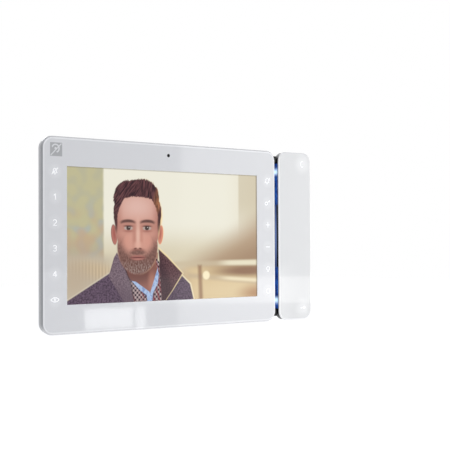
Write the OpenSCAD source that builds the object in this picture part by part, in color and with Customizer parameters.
// Wall-hung video intercom monitor with a magnetic handset at its right.
// Origin: centre of the wall screw pattern, on the wall. +Y into the wall, the screen faces -Y, +Z up.

/* [Monitor] */
// Width of the front panel
panel_w = 189; // [184:1:220]
// Height of the front panel
panel_h = 122.5; // [118:0.5:150]
// Thickness of the front panel
panel_t = 2; // [1.5:0.1:3]
// Corner radius of the front panel
panel_corner = 7.5; // [4:0.5:12]
// Bevel round the front edge of the panel
panel_bevel = 0.8; // [0.3:0.1:1.2]
// Wall to front face
depth = 26; // [25:0.5:34]
// How far the casing stands in from the panel's edge
casing_inset = 1.0; // [0.3:0.1:1.2]
// Wall of the middle frame's rim
rim_wall = 2; // [1.5:0.1:2.5]
// Floor of the middle frame round the display tray
floor_t = 2; // [1.6:0.1:2.4]
// How far the rear cover draws in towards the wall
cover_inset = 12; // [9:0.5:14]
// Wall of the rear cover
cover_wall = 2; // [1.6:0.1:2.4]

/* [Screen] */
// Width of the picture
screen_w = 154.08; // [146:0.01:156]
// Height of the picture
screen_h = 85.92; // [80:0.01:87]
// Gap round the display window in the panel
window_gap = 0.15; // [0.1:0.05:0.3]
// How far the window lies behind the panel's face
window_recess = 0.1; // [0:0.05:0.3]
// Width of the window's flange behind the panel
flange_w = 1.5; // [1:0.1:2]
// Thickness of the window's flange
flange_t = 1; // [0.8:0.1:1.2]
// Thickness of the foam gasket
gasket_t = 0.6; // [0.4:0.1:0.8]
// Thickness of the display glass
lcd_t = 1.2; // [1:0.1:1.4]
// Border of the display glass at its sides
lcd_side = 2; // [1.5:0.1:2.4]
// Border of the display glass at top and bottom
lcd_end = 4; // [3:0.1:4.5]
// Thickness of the backlight tray
backlight_t = 3.2; // [2.8:0.1:3.6]
// Gap between the display and its tray
tray_gap = 0.3; // [0.2:0.1:0.5]
// Wall of the display tray
tray_wall = 1.2; // [1:0.1:1.6]
// Web behind the display
web_t = 1.6; // [1.2:0.1:2]

/* [Touch keys] */
// Keys in each column
key_count = 6; // [4:1:6]
// Distance from key to key
key_pitch = 15.8; // [14:0.1:16.5]
// Radius of a key's light guide
guide_r = 2.6; // [2:0.1:3]
// Length of a key's light guide
guide_len = 1; // [0.8:0.1:1.2]
// Gap round a key board
key_board_gap = 0.4; // [0.2:0.1:0.8]
// Thickness of a key board
key_board_t = 1; // [0.8:0.1:1.2]

/* [Microphone] */
// Radius of the hole in the panel
mic_hole_r = 1; // [0.5:0.1:1.1]
// Radius of the capsule
capsule_r = 2.5; // [2:0.1:3]
// Wall of the rubber boot
boot_wall = 0.8; // [0.6:0.1:1]

/* [Main board] */
// Width of the main board
board_w = 108; // [100:1:110]
// Height of the main board
board_h = 80; // [76:1:81]
// Thickness of the main board
board_t = 1.6; // [1.2:0.1:1.8]
// Height of the posts that carry the board
board_post = 2; // [1.6:0.1:2.4]
// Poles of the terminal block
poles = 6; // [4:1:7]
// Distance from pole to pole
pole_pitch = 5.08; // [4.5:0.01:5.2]
// Switches in the code switch
switch_count = 8;
// Distance from switch to switch
switch_pitch = 2.54; // [2.4:0.01:2.6]
// Travel of a switch slider
switch_travel = 1.8; // [1.4:0.1:2]
// Radius of the loudspeaker
speaker_r = 15; // [12:0.5:15.5]
// Depth of the loudspeaker
speaker_d = 5.5; // [4:0.1:6]

/* [Wall bracket] */
// Width of the bracket
bracket_w = 130; // [126:1:140]
// Height of the bracket
bracket_h = 84; // [80:1:90]
// Thickness of the bracket
bracket_t = 1.2; // [1:0.1:1.5]
// Gap between the bracket and the rear cover
hang_gap = 0.3; // [0.2:0.1:0.5]
// Wall screws, side to side
screw_dx = 88; // [84:1:92]
// Wall screws, top to bottom
screw_dz = 64; // [60:1:68]
// Radius of the wall screw holes
screw_hole_r = 2.25; // [2:0.05:2.5]
// Flush box screws, side to side
box_dx = 83.5; // [80:0.5:86]
// Width of the wiring hole
bay_w = 62; // [50:1:66]
// Height of the wiring hole
bay_h = 44; // [40:1:46]
// Height of a hook's lip
hook_lip = 3.5; // [2.5:0.1:4]
// Width of a hook
hook_w = 8; // [6:0.5:9]

/* [Handset] */
// Width of the handset's face
handset_w = 31.5; // [30:0.5:38]
// Gap between the monitor's panel and the handset
handset_gap = 3.5; // [3.5:0.1:5]
// Thickness of the white face
face_t = 1; // [0.8:0.1:1.3]
// Corner radius of the face
face_corner = 7; // [4:0.5:10]
// Bevel round the face
face_bevel = 0.5; // [0.2:0.1:0.6]
// Depth of the black rim behind the face
handset_rim = 4; // [3.6:0.1:4.4]
// Depth of the body that sinks into the cradle
handset_body = 8.5; // [8.2:0.1:9]
// Wall of the handset's back shell
shell_wall = 1.8; // [1.5:0.1:2]
// Radius of the earpiece
ear_r = 9.5; // [8:0.1:10]
// Earpiece's middle from the upper end of the handset's body
ear_end = 16.25; // [14:0.25:20]
// Mouthpiece's middle from the lower end of the handset's body
mouth_end = 12.25; // [8:0.25:14]

/* [Cradle] */
// How far the cradle ends stand in from the panel's ends
cradle_end_inset = 3; // [2.5:0.1:4]
// Wall at the cradle's ends
cradle_end_wall = 5.7; // [5.4:0.1:6.5]
// Wall at the cradle's right side
cradle_wall = 1.6; // [1.4:0.1:2]
// Floor under the handset
cradle_floor = 3.2; // [3:0.1:3.6]
// Gap between the handset and the cradle
cradle_gap = 0.3; // [0.2:0.05:0.4]
// Width of the light bar
light_bar_w = 0.9; // [0.7:0.1:1.1]
// Middle of each lamp from the end of the light bar
lamp_end = 6.05; // [4.5:0.05:12]
// Height of the finger notch in the right wall
notch_h = 24; // [18:1:30]

/* [Hidden] */
$fn = 64;

// Small distance by which a cut passes the face it opens.
cut = 0.5;
// Gap round a screw, pin or slider in its hole.
fit_gap = 0.1;

// Depths, from the front face to the wall.
front_y = -depth;
panel_back = front_y + panel_t;
flange_back = panel_back + flange_t;
gasket_back = flange_back + gasket_t;
lcd_back = gasket_back + lcd_t;
backlight_back = lcd_back + backlight_t;
web_back = backlight_back + web_t;
board_front = web_back + board_post;
board_back = board_front + board_t;
key_board_front = panel_back + guide_len;
floor_front = key_board_front + key_board_t;
floor_back = floor_front + floor_t;
cover_back = -bracket_t - hang_gap;
cover_inside = cover_back - cover_wall;

// Outlines, as whole widths and heights about the middle of the screen.
window_w = screen_w - 2 * window_gap;
window_h = screen_h - 2 * window_gap;
flange_all_w = screen_w + 2 * flange_w;
flange_all_h = screen_h + 2 * flange_w;
lcd_w = screen_w + 2 * lcd_side;
lcd_h = screen_h + 2 * lcd_end;
tray_in_w = lcd_w + 2 * tray_gap;
tray_in_h = lcd_h + 2 * tray_gap;
tray_out_w = tray_in_w + 2 * tray_wall;
tray_out_h = tray_in_h + 2 * tray_wall;
casing_w = panel_w - 2 * casing_inset;
casing_h = panel_h - 2 * casing_inset;
casing_corner = panel_corner - casing_inset;
// Rounder corners keep the tapered cover out of sight behind the casing.
cover_corner = 2 * casing_corner;
rim_in_w = casing_w - 2 * rim_wall;
rim_in_h = casing_h - 2 * rim_wall;
rim_in_corner = casing_corner - rim_wall;
cover_slope = cover_inset / (cover_back - floor_back);
cover_side = cover_wall * sqrt(1 + pow(cover_slope, 2));
cover_back_w = casing_w - 2 * cover_inset;
cover_back_h = casing_h - 2 * cover_inset;

// Touch keys
key_x = (screen_w + panel_w) / 4;
key_first_z = key_pitch * (key_count - 1) / 2;
// The boards fill the margins between the display tray and the rim.
key_board_x0 = tray_out_w / 2 + key_board_gap;
key_board_x1 = rim_in_w / 2 - key_board_gap;
key_board_end = 5.6;
key_board_h = 2 * (key_first_z + key_board_end);
// The microphone sits midway between the tray and the rim.
mic_z = (tray_out_h + rim_in_h) / 4;
boot_r = capsule_r + fit_gap + boot_wall;

// Main board, case bosses and what stands on the board
case_boss_r = 3.2;
case_screw_r = 1.4;
case_boss_edge = 1.4;
case_boss_x = cover_back_w / 2 - cover_side - case_boss_r - case_boss_edge;
case_boss_z = cover_back_h / 2 - cover_side - case_boss_r - case_boss_edge;
case_tube = 4.5;
case_boss_back = cover_inside - case_tube;
board_left = -40;
board_x = board_left + board_w / 2;
board_post_r = 2.6;
board_corner = 2;
board_screw_r = 1.1;
board_screw_edge = 4;
terminal_end = 1.5;
terminal_w = poles * pole_pitch + 2 * terminal_end;
terminal_h = 10;
terminal_z = 13;
terminal_d = 7.2;
terminal_back = board_back + terminal_d;
terminal_screw_r = 1.7;
terminal_screw_t = 2;
terminal_screw_sink = 1;
switch_end = 0.7;
switch_w = switch_count * switch_pitch + 2 * switch_end;
switch_h = 6.4;
switch_z = 1;
switch_d = 3.5;
switch_back = board_back + switch_d;
slider_w = 1.2;
slider_h = 1.4;
slider_out = 0.8;
slot_depth = 1.6;
slot_h = switch_travel + slider_h + 2 * fit_gap;
slot_low = switch_z - slot_h / 2;
slot_high = switch_z + slot_h / 2;
ribbon_w = 24;
ribbon_t = 0.4;
ribbon_z = -30;
case_head_r = 2.6;
case_head_t = 1.6;
case_head_sink = 1.2;
case_head_seat = cover_inside - case_head_sink;
small_head_r = 2.2;
small_head_t = 1.4;
// Room for the heads of the wall screws in the rear cover
head_room_r = 4.4;
head_room_d = 1.2;
function pole_x(i) = (i - (poles - 1) / 2) * pole_pitch;
function switch_x(i) = (i - (switch_count - 1) / 2) * switch_pitch;

// Loudspeaker behind its slots in the rear cover
speaker_edge = 3;
speaker_x = speaker_edge + speaker_r + cover_side - cover_back_w / 2;
speaker_gasket_t = 0.8;
speaker_front = cover_inside - speaker_gasket_t;
grille_slot = 1.6;
grille_rows = 3;
grille_step = speaker_r * 0.25;
speaker_ring = 1.6;
function grille_half(row) = sqrt(pow(speaker_r - 1.5 * speaker_ring, 2) - pow(row * grille_step, 2));
function cover_width_at(y) = casing_w - 2 * cover_slope * (y - floor_back);
function cover_height_at(y) = casing_h - 2 * cover_slope * (y - floor_back);

// Bracket hooks
bracket_corner = 5;
bay_corner = 4;
// The rear cover's hole stands back from the bracket's by this much.
bay_edge = 1;
hook_t = 1.5;
hook_x = bracket_w / 2 - hook_w;
hook_edge = 16;
hook_z = bracket_h / 2 - hook_edge;
hook_side_gap = 0.4;
hook_lift = hook_lip + hook_t;
lip_t = 1.2;
lip_back = cover_inside - fit_gap;
lip_front = lip_back - lip_t;
hook_seat = fit_gap;

// Handset, to the right of the panel
handset_x0 = panel_w / 2 + handset_gap;
handset_x1 = handset_x0 + handset_w;
handset_x = (handset_x0 + handset_x1) / 2;
face_back = front_y + face_t;
rim_inset = 0.4;
rim_corner = face_corner - rim_inset;
rim_back = face_back + handset_rim;
body_back = rim_back + handset_body;
rim_x0 = handset_x0 + rim_inset;
rim_x1 = handset_x1 - rim_inset;
rim_h = panel_h - 2 * rim_inset;
cradle_h = panel_h - 2 * cradle_end_inset;
cradle_x0 = casing_w / 2;
face_overhang = 2.5;
cradle_x1 = handset_x1 - face_overhang;
body_step = 1.2;
cavity_x0 = rim_x0 + body_step;
cavity_x1 = cradle_x1 - cradle_wall;
cavity_h = cradle_h - 2 * cradle_end_wall;
cradle_x = (cavity_x0 + cavity_x1) / 2;
body_x0 = cavity_x0 + cradle_gap;
body_x1 = cavity_x1 - cradle_gap;
body_h = cavity_h - 2 * cradle_gap;
ear_z = body_h / 2 - ear_end;
mouth_z = body_h / 2 - mouth_end;
handset_inside = body_back - shell_wall;
ledge_front = rim_back - shell_wall;
handset_board_t = 1;
handset_board_front = ledge_front - handset_board_t;
pad_h = 2;
pad_back = body_back + pad_h;
sign_edge = 8.4;
sign_x = handset_x1 - sign_edge;
sign_z = panel_h / 2 - sign_edge;
post_r = 2.2;
// The posts stand beside the earpiece, towards the middle.
post_drop = 12;
post_z = ear_z - post_drop;
post_gap = 0.6;
post_x = body_x0 + shell_wall + post_r + post_gap;
post_pilot = 7;
handset_screw_len = 6.5;
thin_head_t = 0.9;
handset_screw_r = 1;
magnet_r = 4;
magnet_t = 1.5;
magnet_z = 14;
ear_gasket_t = 0.6;
ear_depth = 4.2;
mouth_r = 3;
boot_d = 3;
boot_front = handset_inside - boot_d;

// Cradle
cradle_front = rim_back + cradle_gap + fit_gap;
cradle_floor_front = body_back + cradle_gap;
cradle_floor_back = cradle_floor_front + cradle_floor;
cradle_cover_t = 1.5;
cradle_hollow = 4;
cradle_back = cradle_floor_back + cradle_hollow;
cradle_corner = 4;
light_bar_x1 = rim_x0 - cradle_gap;
light_bar_x0 = light_bar_x1 - light_bar_w;
light_bar_depth = 2;
light_bar_front = face_back + light_bar_depth;
light_end_front = face_back + 2 * cradle_gap;
light_end_len = 30;
light_bar_sink = 0.8;
end_block_proud = 0.5;
end_block_front = light_bar_front - end_block_proud;
lamp_strip_t = 0.6;
lamp_strip_w = 2;
lamp_strip_x1 = light_bar_x0 - fit_gap;
lamp_strip_x0 = lamp_strip_x1 - lamp_strip_w;
lamp_strip_front = cradle_front - lamp_strip_t;
tongue_h = 60;
tongue_t = 2;
tongue_x0 = tray_out_w / 2 + fit_gap;
tongue_screw_edge = 3.2;
tongue_screw_x = tongue_x0 + tongue_screw_edge;
tongue_screw_z = 24;
flex_t = 0.3;
flex_w = 8;
flex_y = key_board_front + key_board_t / 2;
socket_r = 1.6;
socket_wall = 1;
socket_x = handset_x;
hook_board_t = 1;
reed_r = 1.2;
light_bar_h = cavity_h;
lamp_z = light_bar_h / 2 - lamp_end;
end_block_h = 4.7;
end_block_inset = 1.2;
notch_sill = 1;
lamp_t = 0.8;
lamp_edge = 0.4;
cradle_boss_r = 2.8;
// The bosses run into the left wall.
cradle_screw_x = cradle_x0 + cradle_wall + cradle_boss_r / 2;
cradle_screw_bite = 2;
cradle_screw_z = 30;
cradle_socket_len = cradle_end_wall - socket_wall;
cradle_socket_y = (cradle_front + cradle_floor_front) / 2;
pad_ring = 1.5;
sound_hole_r = 0.8;
handset_head_r = 1.8;
handset_head_sink = 1;
handset_head_seat = body_back - handset_head_sink;
handset_socket_r = 1.5;
handset_socket_len = 5;
handset_socket_y = (face_back + rim_back) / 2;

// Shapes that several pieces share

// A flat outline in X and Z, given depth from y0 (front) to y1 (back).
module prism(y0, y1) {
    translate([0, y1, 0]) rotate([90, 0, 0]) linear_extrude(y1 - y0) children();
}

// A rectangle with round corners about the middle.
module rounded(w, h, r) {
    square([w - 2 * r, h], center = true);
    square([w, h - 2 * r], center = true);
    for (sx = [-1, 1], sz = [-1, 1])
        translate([sx * (w / 2 - r), sz * (h / 2 - r)]) circle(r);
}

// A box between two corners.
module block(x0, x1, y0, y1, z0, z1) {
    translate([x0, y0, z0]) cube([x1 - x0, y1 - y0, z1 - z0]);
}

// A round bar along Y at x, z.
module rod(x, z, r, y0, y1) {
    translate([x, y1, z]) rotate([90, 0, 0]) cylinder(h = y1 - y0, r = r);
}

// A round-cornered plate with a bevel round its front edge.
module bevelled_plate(w, h, r, y0, y1, bevel) {
    prism(y0 + bevel, y1) rounded(w, h, r);
    linear_extrude(h - 2 * r, center = true)
        polygon([[-w / 2, y0 + bevel], [w / 2, y0 + bevel], [w / 2 - bevel, y0], [bevel - w / 2, y0]]);
    rotate([0, 90, 0]) linear_extrude(w - 2 * r, center = true)
        polygon([[-h / 2, y0 + bevel], [h / 2, y0 + bevel], [h / 2 - bevel, y0], [bevel - h / 2, y0]]);
    for (sx = [-1, 1], sz = [-1, 1])
        translate([sx * (w / 2 - r), y0 + bevel, sz * (h / 2 - r)]) rotate([90, 0, 0])
            cylinder(h = bevel, r1 = r, r2 = r - bevel);
}

// A block that draws in from the size w0, h0 at y0 to w1, h1 at y1.
module taper(w0, h0, w1, h1, y0, y1) {
    intersection() {
        linear_extrude(2 * max(h0, h1), center = true)
            polygon([[-w0 / 2, y0], [w0 / 2, y0], [w1 / 2, y1], [-w1 / 2, y1]]);
        rotate([0, 90, 0]) linear_extrude(2 * max(w0, w1), center = true)
            polygon([[-h0 / 2, y0], [h0 / 2, y0], [h1 / 2, y1], [-h1 / 2, y1]]);
    }
}

// A pan-head screw along Y, driven from the back, with a cross recess in its head.
module screw(x, z, r, head_r, head_t, tip, seat) {
    recess_w = r * 0.5;
    difference() {
        union() {
            rod(x, z, r, tip, seat);
            rod(x, z, head_r, seat, seat + head_t);
        }
        for (turn = [0, 90])
            translate([x, seat + head_t, z]) rotate([0, turn, 0])
                cube([head_r * 1.3, head_t, recess_w], center = true);
    }
}

// Wall bracket

module hook(x, z) {
    block(x - hook_w / 2, x + hook_w / 2, lip_front, -bracket_t, z, z + hook_t);
    block(x - hook_w / 2, x + hook_w / 2, lip_front, lip_back, z, z + hook_t + hook_lip);
}

module wall_bracket() {
    color("silver") {
        difference() {
            prism(-bracket_t, 0) rounded(bracket_w, bracket_h, bracket_corner);
            prism(-bracket_t - cut, cut) rounded(bay_w, bay_h, bay_corner);
            for (sx = [-1, 1], sz = [-1, 1])
                rod(sx * screw_dx / 2, sz * screw_dz / 2, screw_hole_r, -bracket_t - cut, cut);
            for (sx = [-1, 1])
                rod(sx * box_dx / 2, 0, screw_hole_r, -bracket_t - cut, cut);
        }
        for (sx = [-1, 1], sz = [-1, 1])
            hook(sx * hook_x, sz * hook_z);
    }
}

// Front of the monitor

module front_panel() {
    color("white") difference() {
        bevelled_plate(panel_w, panel_h, panel_corner, front_y, panel_back, panel_bevel);
        prism(front_y - cut, panel_back + cut) square([screen_w, screen_h], center = true);
        rod(0, mic_z, mic_hole_r, front_y - cut, panel_back + cut);
    }
}

module display_window() {
    color("lightcyan") {
        prism(front_y + window_recess, panel_back) square([window_w, window_h], center = true);
        prism(panel_back, flange_back) square([flange_all_w, flange_all_h], center = true);
    }
}

module window_gasket() {
    color("dimgray") prism(flange_back, gasket_back) difference() {
        square([flange_all_w, flange_all_h], center = true);
        square([screen_w, screen_h], center = true);
    }
}

module lcd_panel() {
    color("midnightblue") prism(gasket_back, lcd_back) square([lcd_w, lcd_h], center = true);
}

module lcd_backlight() {
    color("gainsboro") prism(lcd_back, backlight_back) rounded(lcd_w, lcd_h, 1);
}

// Middle frame: rim, floor, display tray, board posts and case bosses
module mid_frame() {
    color("lightgray") difference() {
        union() {
            prism(panel_back, floor_front) difference() {
                rounded(casing_w, casing_h, casing_corner);
                rounded(rim_in_w, rim_in_h, rim_in_corner);
            }
            prism(floor_front, floor_back) difference() {
                rounded(casing_w, casing_h, casing_corner);
                square([tray_in_w, tray_in_h], center = true);
            }
            prism(floor_back, web_back) difference() {
                square([tray_out_w, tray_out_h], center = true);
                square([tray_in_w, tray_in_h], center = true);
            }
            prism(backlight_back, web_back) square([tray_out_w, tray_out_h], center = true);
            for (sx = [-1, 1], sz = [-1, 1]) {
                rod(sx * case_boss_x, sz * case_boss_z, case_boss_r, web_back, case_boss_back);
                rod(board_x + sx * (board_w / 2 - board_screw_edge),
                    sz * (board_h / 2 - board_screw_edge), board_post_r, web_back, board_front);
            }
        }
        for (sx = [-1, 1], sz = [-1, 1]) {
            rod(sx * case_boss_x, sz * case_boss_z, case_screw_r + fit_gap / 2,
                web_back, case_boss_back + cut);
            rod(board_x + sx * (board_w / 2 - board_screw_edge),
                sz * (board_h / 2 - board_screw_edge), board_screw_r + fit_gap / 2,
                backlight_back - cut, board_front + cut);
        }
        for (sz = [-1, 0, 1])
            rod(tongue_screw_x, sz * tongue_screw_z, case_screw_r + fit_gap / 2,
                floor_front - cut, floor_back + cut);
        // Pocket for the microphone's boot
        rod(0, mic_z, boot_r + fit_gap, panel_back - cut, floor_front);
        // Slots for the display ribbon and for the flat lead to the cradle
        block(-ribbon_w / 2 - cut, ribbon_w / 2 + cut, backlight_back - cut, web_back + cut,
              ribbon_z - ribbon_t, ribbon_z + 2 * ribbon_t);
        block(rim_in_w / 2 - cut, casing_w / 2 + cut, flex_y - flex_t, flex_y + 2 * flex_t,
              -flex_w / 2 - cut, flex_w / 2 + cut);
    }
}

// Touch keys: a board in each side margin and a light guide behind each sign

module key_board(side) {
    color("seagreen") mirror([side < 0 ? 1 : 0, 0, 0])
        block(key_board_x0, key_board_x1, key_board_front, floor_front, -key_board_h / 2, key_board_h / 2);
}

module key_light_guides(side) {
    color("whitesmoke") for (i = [0:key_count - 1])
        rod(side * key_x, key_first_z - i * key_pitch, guide_r, panel_back, key_board_front);
}

module key_board_left() { key_board(-1); }
module key_board_right() { key_board(1); }
module key_light_guides_left() { key_light_guides(-1); }
module key_light_guides_right() { key_light_guides(1); }

// Microphone behind the hole in the panel

module microphone_boot() {
    color("black") difference() {
        rod(0, mic_z, boot_r, panel_back, floor_front);
        rod(0, mic_z, mic_hole_r, panel_back - cut, floor_front);
        rod(0, mic_z, capsule_r + fit_gap, panel_back + boot_wall, floor_front + cut);
    }
}

module microphone_capsule() {
    color("silver") rod(0, mic_z, capsule_r, panel_back + boot_wall, floor_front);
}

// Main board and what is soldered to it

module main_board() {
    color("darkgreen") difference() {
        translate([board_x, 0, 0]) prism(board_front, board_back) rounded(board_w, board_h, board_corner);
        for (sx = [-1, 1], sz = [-1, 1])
            rod(board_x + sx * (board_w / 2 - board_screw_edge), sz * (board_h / 2 - board_screw_edge),
                board_screw_r + fit_gap, board_front - cut, board_back + cut);
    }
}

module board_screws() {
    color("silver") for (sx = [-1, 1], sz = [-1, 1])
        screw(board_x + sx * (board_w / 2 - board_screw_edge), sz * (board_h / 2 - board_screw_edge),
              board_screw_r, small_head_r, small_head_t, web_back, board_back);
}

// Processor, memory, codec and line transformer, standing on the back of the board
module main_chips() {
    // Middle x and z from the board's middle, side, height
    chips = [[11, -27, 14, 1.3], [28, -27, 10, 1.3], [26, -3, 7, 1.3], [30, 14, 12, 6]];
    can_r = 3;
    can_h = 6;
    can_step = 9;
    color("dimgray") {
        for (chip = chips)
            translate([board_x + chip[0], board_back + chip[3] / 2, chip[1]])
                cube([chip[2], chip[3], chip[2]], center = true);
        for (i = [0:2])
            rod(board_x - board_w / 2 + can_step * (i + 1), board_h / 2 - can_step, can_r,
                board_back, board_back + can_h);
    }
}

module display_ribbon() {
    color("darkorange") block(-ribbon_w / 2, ribbon_w / 2, backlight_back, board_front,
        ribbon_z, ribbon_z + ribbon_t);
}

module terminal_block() {
    entry_r = 1.4;
    entry_rise = 2.2;
    entry_y = board_back + entry_rise;
    entry_d = 3.5;
    screw_seat = terminal_back - terminal_screw_sink - terminal_screw_t;
    color("green") difference() {
        block(-terminal_w / 2, terminal_w / 2, board_back, terminal_back,
              terminal_z - terminal_h / 2, terminal_z + terminal_h / 2);
        for (i = [0:poles - 1]) {
            rod(pole_x(i), terminal_z, terminal_screw_r + fit_gap, screw_seat, terminal_back + cut);
            translate([pole_x(i), entry_y, terminal_z - terminal_h / 2 - cut])
                cylinder(h = entry_d + cut, r = entry_r);
        }
    }
}

module terminal_screws() {
    screw_face = terminal_back - terminal_screw_sink;
    slot_d = 0.6;
    slot_w = 0.6;
    color("silver") for (i = [0:poles - 1]) difference() {
        rod(pole_x(i), terminal_z, terminal_screw_r, screw_face - terminal_screw_t, screw_face);
        block(pole_x(i) - terminal_screw_r, pole_x(i) + terminal_screw_r,
              screw_face - slot_d, screw_face + cut, terminal_z - slot_w / 2, terminal_z + slot_w / 2);
    }
}

// Code switch: the body has one slot for each slider, and a slider rests at its slot's lower end

module code_switch_body() {
    color("firebrick") difference() {
        block(-switch_w / 2, switch_w / 2, board_back, switch_back,
              switch_z - switch_h / 2, switch_z + switch_h / 2);
        for (i = [0:switch_count - 1])
            block(switch_x(i) - slider_w / 2 - fit_gap, switch_x(i) + slider_w / 2 + fit_gap,
                  switch_back - slot_depth, switch_back + cut, slot_low, slot_high);
    }
}

module code_slider(number) {
    x = switch_x(number - 1);
    color("ivory") block(x - slider_w / 2, x + slider_w / 2, switch_back - slot_depth + fit_gap,
        switch_back + slider_out, slot_low + fit_gap, slot_low + fit_gap + slider_h);
}

// Loudspeaker and its gasket on the inside of the rear cover

module speaker_gasket() {
    color("black") prism(speaker_front, cover_inside) translate([speaker_x, 0]) difference() {
        circle(speaker_r);
        circle(speaker_r - speaker_ring);
    }
}

module loudspeaker() {
    magnet_depth = speaker_d * 0.55;
    color("gray") {
        rod(speaker_x, 0, speaker_r, speaker_front - speaker_d + magnet_depth, speaker_front);
        rod(speaker_x, 0, speaker_r * 0.6, speaker_front - speaker_d,
            speaker_front - speaker_d + magnet_depth);
    }
}

// Rear cover: tapered shell with the wiring bay, hook slots, recesses for the wall screws' heads,
// loudspeaker slots, vents and a cut for the cradle's tongue
module rear_cover() {
    inside_w = cover_width_at(cover_inside) - 2 * cover_side;
    inside_h = cover_height_at(cover_inside) - 2 * cover_side;
    color("gainsboro") difference() {
        union() {
            difference() {
                intersection() {
                    taper(casing_w, casing_h, cover_back_w, cover_back_h, floor_back, cover_back);
                    prism(floor_back, cover_back) rounded(casing_w, casing_h, cover_corner);
                }
                intersection() {
                    taper(cover_width_at(floor_back - cut) - 2 * cover_side,
                          cover_height_at(floor_back - cut) - 2 * cover_side,
                          inside_w, inside_h, floor_back - cut, cover_inside);
                    prism(floor_back - 2 * cut, cover_inside + cut)
                        rounded(casing_w, casing_h, cover_corner + 2 * cover_side);
                }
            }
            for (sx = [-1, 1], sz = [-1, 1])
                rod(sx * case_boss_x, sz * case_boss_z, case_boss_r, case_boss_back, cover_inside + cut);
        }
        prism(cover_inside - cut, cover_back + cut)
            rounded(bay_w + 2 * bay_edge, bay_h + 2 * bay_edge, bay_corner);
        for (sx = [-1, 1], sz = [-1, 1]) {
            block(sx * hook_x - hook_w / 2 - hook_side_gap, sx * hook_x + hook_w / 2 + hook_side_gap,
                  cover_inside - cut, cover_back + cut,
                  sz * hook_z - hook_lift - hook_side_gap, sz * hook_z + hook_t + hook_seat);
            block(sx * screw_dx / 2 - head_room_r, sx * screw_dx / 2 + head_room_r,
                  cover_back - head_room_d, cover_back + cut,
                  sz * screw_dz / 2 - head_room_r - hook_lift, sz * screw_dz / 2 + head_room_r);
            rod(sx * case_boss_x, sz * case_boss_z, case_screw_r + fit_gap,
                case_boss_back - cut, cover_back + cut);
            rod(sx * case_boss_x, sz * case_boss_z, case_head_r + fit_gap, case_head_seat, cover_back + cut);
        }
        for (z = [-grille_rows:grille_rows])
            block(speaker_x - grille_half(z), speaker_x + grille_half(z),
                  cover_inside - cut, cover_back + cut,
                  z * grille_step - grille_slot / 2, z * grille_step + grille_slot / 2);
        for (z = [1 - grille_rows:grille_rows - 1])
            block(-speaker_x - speaker_r * 0.7, -speaker_x + speaker_r * 0.7,
                  cover_inside - cut, cover_back + cut,
                  z * grille_step - grille_slot / 2, z * grille_step + grille_slot / 2);
        block(tongue_x0 - cut, casing_w / 2 + cut, floor_back - cut, floor_back + tongue_t + cradle_gap,
              -tongue_h / 2 - cradle_gap, tongue_h / 2 + cradle_gap);
    }
}

module case_screws() {
    color("silver") for (sx = [-1, 1], sz = [-1, 1])
        screw(sx * case_boss_x, sz * case_boss_z, case_screw_r, case_head_r, case_head_t,
              web_back + fit_gap, case_head_seat);
}

// Cradle: shell with the handset's cavity, a tongue under the middle frame, and end blocks
// that close the lit channel beside the monitor

module at_cradle_middle() {
    translate([(cradle_x0 + cradle_x1) / 2, 0, 0]) children();
}

module cradle_shell() {
    shell_w = cradle_x1 - cradle_x0;
    color("#202124") difference() {
        union() {
            at_cradle_middle() prism(cradle_front, cradle_back) rounded(shell_w, cradle_h, cradle_corner);
            for (sz = [-1, 1])
                mirror([0, 0, sz < 0 ? 1 : 0])
                    block(cradle_x0, light_bar_x1, end_block_front, cradle_front + cut,
                          cradle_h / 2 - end_block_h, cradle_h / 2 - end_block_inset);
            block(tongue_x0, cradle_x0 + cradle_corner, floor_back, floor_back + tongue_t,
                  -tongue_h / 2, tongue_h / 2);
        }
        block(cavity_x0, cavity_x1, cradle_front - cut, cradle_floor_front, -cavity_h / 2, cavity_h / 2);
        // Hollow under the floor, round the bosses of the back cover's screws
        difference() {
            at_cradle_middle() prism(cradle_floor_back, cradle_back + cut)
                rounded(shell_w - 2 * cradle_wall, cradle_h - 2 * cradle_wall, cradle_corner - cradle_wall);
            for (sz = [-1, 1])
                rod(cradle_screw_x, sz * cradle_screw_z, cradle_boss_r, cradle_floor_back, cradle_back);
        }
        // Recesses for the ear pad and the mouth pad, and pockets for the magnets
        rod(cradle_x, ear_z, ear_r + pad_ring + cradle_gap,
            cradle_floor_front - cut, pad_back + cradle_gap);
        rod(cradle_x, -mouth_z, mouth_r + pad_ring + cradle_gap,
            cradle_floor_front - cut, pad_back + cradle_gap);
        for (sz = [-1, 1]) {
            rod(cradle_x, sz * magnet_z, magnet_r + fit_gap,
                cradle_floor_back - magnet_t, cradle_floor_back + cut);
            rod(cradle_screw_x, sz * cradle_screw_z, case_screw_r + fit_gap / 2,
                cradle_floor_back - cradle_screw_bite, cradle_back + cut);
        }
        // Groove for the light bar, finger notch and cord socket
        block(light_bar_x0, light_bar_x1, cradle_front - cut, cradle_front + light_bar_sink,
              -light_bar_h / 2, light_bar_h / 2);
        block(cavity_x1 - cut, cradle_x1 + cut, cradle_front - cut, cradle_floor_front - notch_sill,
              -notch_h / 2, notch_h / 2);
        translate([socket_x, cradle_socket_y, -cradle_h / 2 - cut])
            cylinder(h = cradle_socket_len + cut, r = socket_r + socket_wall);
        for (sz = [-1, 0, 1])
            rod(tongue_screw_x, sz * tongue_screw_z, case_screw_r + fit_gap,
                floor_back - cut, floor_back + tongue_t + cut);
    }
}

module cradle_screws() {
    color("silver") for (sz = [-1, 0, 1])
        screw(tongue_screw_x, sz * tongue_screw_z, case_screw_r, small_head_r, small_head_t,
              floor_front + fit_gap, floor_back + tongue_t);
}

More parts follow.
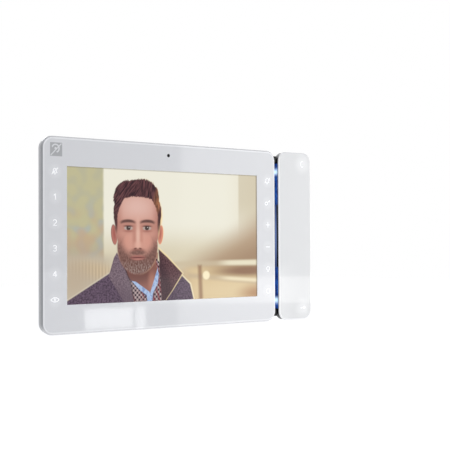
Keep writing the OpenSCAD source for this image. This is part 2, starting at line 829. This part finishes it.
module cradle_back_cover() {
    shell_w = cradle_x1 - cradle_x0;
    color("#202124") difference() {
        at_cradle_middle() prism(cradle_back, cradle_back + cradle_cover_t)
            rounded(shell_w, cradle_h, cradle_corner);
        for (sz = [-1, 1])
            rod(cradle_screw_x, sz * cradle_screw_z, case_screw_r + fit_gap,
                cradle_back - cut, cradle_back + cradle_cover_t + cut);
    }
}

module cradle_cover_screws() {
    color("silver") for (sz = [-1, 1])
        screw(cradle_screw_x, sz * cradle_screw_z, case_screw_r, small_head_r, thin_head_t,
              cradle_floor_back - cradle_screw_bite + fit_gap, cradle_back + cradle_cover_t);
}

module cradle_light_bar() {
    color("deepskyblue") union() {
        block(light_bar_x0, light_bar_x1, light_bar_front, cradle_front + light_bar_sink,
              -light_bar_h / 2, light_bar_h / 2);
        // Ends, raised to catch the lamps' light
        for (sz = [-1, 1])
            mirror([0, 0, sz < 0 ? 1 : 0])
                block(light_bar_x0, light_bar_x1, light_end_front, light_bar_front + cut,
                      light_bar_h / 2 - light_end_len, light_bar_h / 2);
    }
}

module cradle_lamp_strip() {
    color("darkslateblue") block(lamp_strip_x0, lamp_strip_x1, lamp_strip_front, cradle_front,
        -light_bar_h / 2, light_bar_h / 2);
}

module cradle_lamps() {
    lamp_h = 2.6;
    color("azure") for (sz = [-1, 1])
        block(lamp_strip_x0 + lamp_edge, lamp_strip_x1, lamp_strip_front - lamp_t, lamp_strip_front,
              sz * lamp_z - lamp_h / 2, sz * lamp_z + lamp_h / 2);
}

// Flat lead from the right key board, through the middle frame's rim, to the lamp strip
module cradle_flat_lead() {
    lead_x1 = lamp_strip_x0 + lamp_edge;
    color("darkorange") {
        block(key_board_x1, lead_x1, flex_y, flex_y + flex_t, -flex_w / 2, flex_w / 2);
        block(lead_x1 - flex_t, lead_x1, flex_y, lamp_strip_front, -flex_w / 2, flex_w / 2);
    }
}

module cradle_magnets() {
    color("lightsteelblue") for (sz = [-1, 1])
        rod(cradle_x, sz * magnet_z, magnet_r, cradle_floor_back - magnet_t, cradle_floor_back);
}

module hook_board() {
    hook_board_w = 14;
    hook_board_h = 40;
    color("darkgreen") block(cradle_x - hook_board_w / 2, cradle_x + hook_board_w / 2,
        cradle_back - hook_board_t, cradle_back, -hook_board_h / 2, hook_board_h / 2);
}

// Glass reed that senses the handset's magnet, lying on its board
module reed_switch() {
    reed_len = 14;
    color("paleturquoise") translate([cradle_x, cradle_back - hook_board_t - reed_r, magnet_z - reed_len / 2])
        cylinder(h = reed_len, r = reed_r);
}

module cord_socket(x, y, z, length) {
    translate([x, y, z]) difference() {
        cylinder(h = length, r = socket_r + socket_wall - fit_gap);
        translate([0, 0, -cut]) cylinder(h = length - socket_wall + cut, r = socket_r);
    }
}

module cradle_cord_socket() {
    color("black") cord_socket(socket_x, cradle_socket_y, -cradle_h / 2, cradle_socket_len);
}

// Handset: white face with two posts, black back shell, and what they hold

module at_handset_middle() {
    translate([handset_x, 0, 0]) children();
}

module handset_front_shell() {
    color("white") {
        at_handset_middle() bevelled_plate(handset_w, panel_h, face_corner, front_y, face_back, face_bevel);
        for (sz = [-1, 1]) difference() {
            rod(post_x, sz * post_z, post_r, face_back, handset_inside);
            rod(post_x, sz * post_z, handset_screw_r + fit_gap / 2,
                handset_inside - post_pilot, handset_inside + cut);
        }
    }
}

module handset_back_shell() {
    rim_w = rim_x1 - rim_x0;
    color("#202124") difference() {
        union() {
            at_handset_middle() prism(face_back, rim_back) rounded(rim_w, rim_h, rim_corner);
            block(body_x0, body_x1, rim_back - cut, body_back, -body_h / 2, body_h / 2);
            rod(cradle_x, ear_z, ear_r + pad_ring, body_back - cut, pad_back);
            rod(cradle_x, -mouth_z, mouth_r + pad_ring, body_back - cut, pad_back);
        }
        at_handset_middle() prism(face_back - cut, ledge_front)
            rounded(rim_w - 2 * shell_wall, rim_h - 2 * shell_wall, rim_corner - shell_wall);
        block(body_x0 + shell_wall, body_x1 - shell_wall, ledge_front - cut, handset_inside,
              shell_wall - body_h / 2, body_h / 2 - shell_wall);
        // Sound holes
        for (turn = [0:60:300])
            rod(cradle_x + ear_r * 0.5 * cos(turn), ear_z + ear_r * 0.5 * sin(turn), sound_hole_r,
                handset_inside - cut, pad_back + cut);
        rod(cradle_x, ear_z, sound_hole_r, handset_inside - cut, pad_back + cut);
        rod(cradle_x, -mouth_z, sound_hole_r, handset_inside - cut, pad_back + cut);
        for (sz = [-1, 1]) {
            rod(post_x, sz * post_z, handset_screw_r + fit_gap, handset_inside - cut, body_back + cut);
            rod(post_x, sz * post_z, handset_head_r + fit_gap, handset_head_seat, body_back + cut);
        }
        translate([socket_x, handset_socket_y, -rim_h / 2 - cut])
            cylinder(h = handset_socket_len + cut, r = handset_socket_r);
    }
}

module handset_board() {
    board_gap = 0.5;
    inner_w = rim_x1 - rim_x0 - 2 * (shell_wall + board_gap);
    inner_h = rim_h - 2 * (shell_wall + board_gap);
    notch_top = handset_socket_len + board_gap - rim_h / 2;
    notch_half = handset_socket_r + board_gap;
    color("darkgreen") difference() {
        at_handset_middle() prism(handset_board_front, ledge_front)
            rounded(inner_w, inner_h, rim_corner - shell_wall);
        // Notch for the cord socket
        block(socket_x - notch_half, socket_x + notch_half, handset_board_front - cut, ledge_front + cut,
              -rim_h / 2, notch_top);
        for (sz = [-1, 1])
            rod(post_x, sz * post_z, post_r + cradle_gap, handset_board_front - cut, ledge_front + cut);
    }
}

module handset_light_guides() {
    color("whitesmoke") for (sz = [-1, 1])
        rod(sign_x, sz * sign_z, guide_r, face_back, handset_board_front);
}

module handset_ear_gasket() {
    color("black") prism(handset_inside - ear_gasket_t, handset_inside)
        translate([cradle_x, ear_z]) difference() {
            circle(ear_r);
            circle(ear_r - pad_ring);
        }
}

module handset_earpiece() {
    ear_back = handset_inside - ear_gasket_t;
    color("gray") {
        rod(cradle_x, ear_z, ear_r, ear_back - ear_depth * 0.5, ear_back);
        rod(cradle_x, ear_z, ear_r * 0.6, ear_back - ear_depth, ear_back - ear_depth * 0.5);
    }
}

module handset_mic_boot() {
    color("black") difference() {
        rod(cradle_x, -mouth_z, mouth_r + boot_wall + fit_gap, boot_front, handset_inside);
        rod(cradle_x, -mouth_z, mouth_r + fit_gap, boot_front - cut, handset_inside - boot_wall);
        rod(cradle_x, -mouth_z, sound_hole_r, boot_front - cut, handset_inside + cut);
    }
}

module handset_microphone() {
    color("silver") rod(cradle_x, -mouth_z, mouth_r, boot_front, handset_inside - boot_wall);
}

module handset_magnets() {
    color("lightsteelblue") for (sz = [-1, 1])
        rod(cradle_x, sz * magnet_z, magnet_r, handset_inside - magnet_t, handset_inside);
}

module handset_screws() {
    color("silver") for (sz = [-1, 1])
        screw(post_x, sz * post_z, handset_screw_r, handset_head_r, thin_head_t,
              handset_inside - handset_screw_len, handset_head_seat);
}

module handset_cord_socket() {
    color("black") translate([socket_x, handset_socket_y, -rim_h / 2]) difference() {
        cylinder(h = handset_socket_len, r = handset_socket_r - fit_gap);
        translate([0, 0, -cut])
            cylinder(h = handset_socket_len - socket_wall + cut, r = handset_socket_r - socket_wall / 2);
    }
}

wall_bracket();
front_panel();
display_window();
window_gasket();
lcd_panel();
lcd_backlight();
mid_frame();
key_board_left();
key_board_right();
key_light_guides_left();
key_light_guides_right();
microphone_boot();
microphone_capsule();
main_board();
board_screws();
main_chips();
display_ribbon();
terminal_block();
terminal_screws();
code_switch_body();
code_slider(1);  // code_slider_1
code_slider(2);  // code_slider_2
code_slider(3);  // code_slider_3
code_slider(4);  // code_slider_4
code_slider(5);  // code_slider_5
code_slider(6);  // code_slider_6
code_slider(7);  // code_slider_7
code_slider(8);  // code_slider_8
speaker_gasket();
loudspeaker();
rear_cover();
case_screws();
cradle_shell();
cradle_screws();
cradle_back_cover();
cradle_cover_screws();
cradle_light_bar();
cradle_lamp_strip();
cradle_lamps();
cradle_flat_lead();
cradle_magnets();
hook_board();
reed_switch();
cradle_cord_socket();
handset_front_shell();
handset_back_shell();
handset_board();
handset_light_guides();
handset_ear_gasket();
handset_earpiece();
handset_mic_boot();
handset_microphone();
handset_magnets();
handset_screws();
handset_cord_socket();
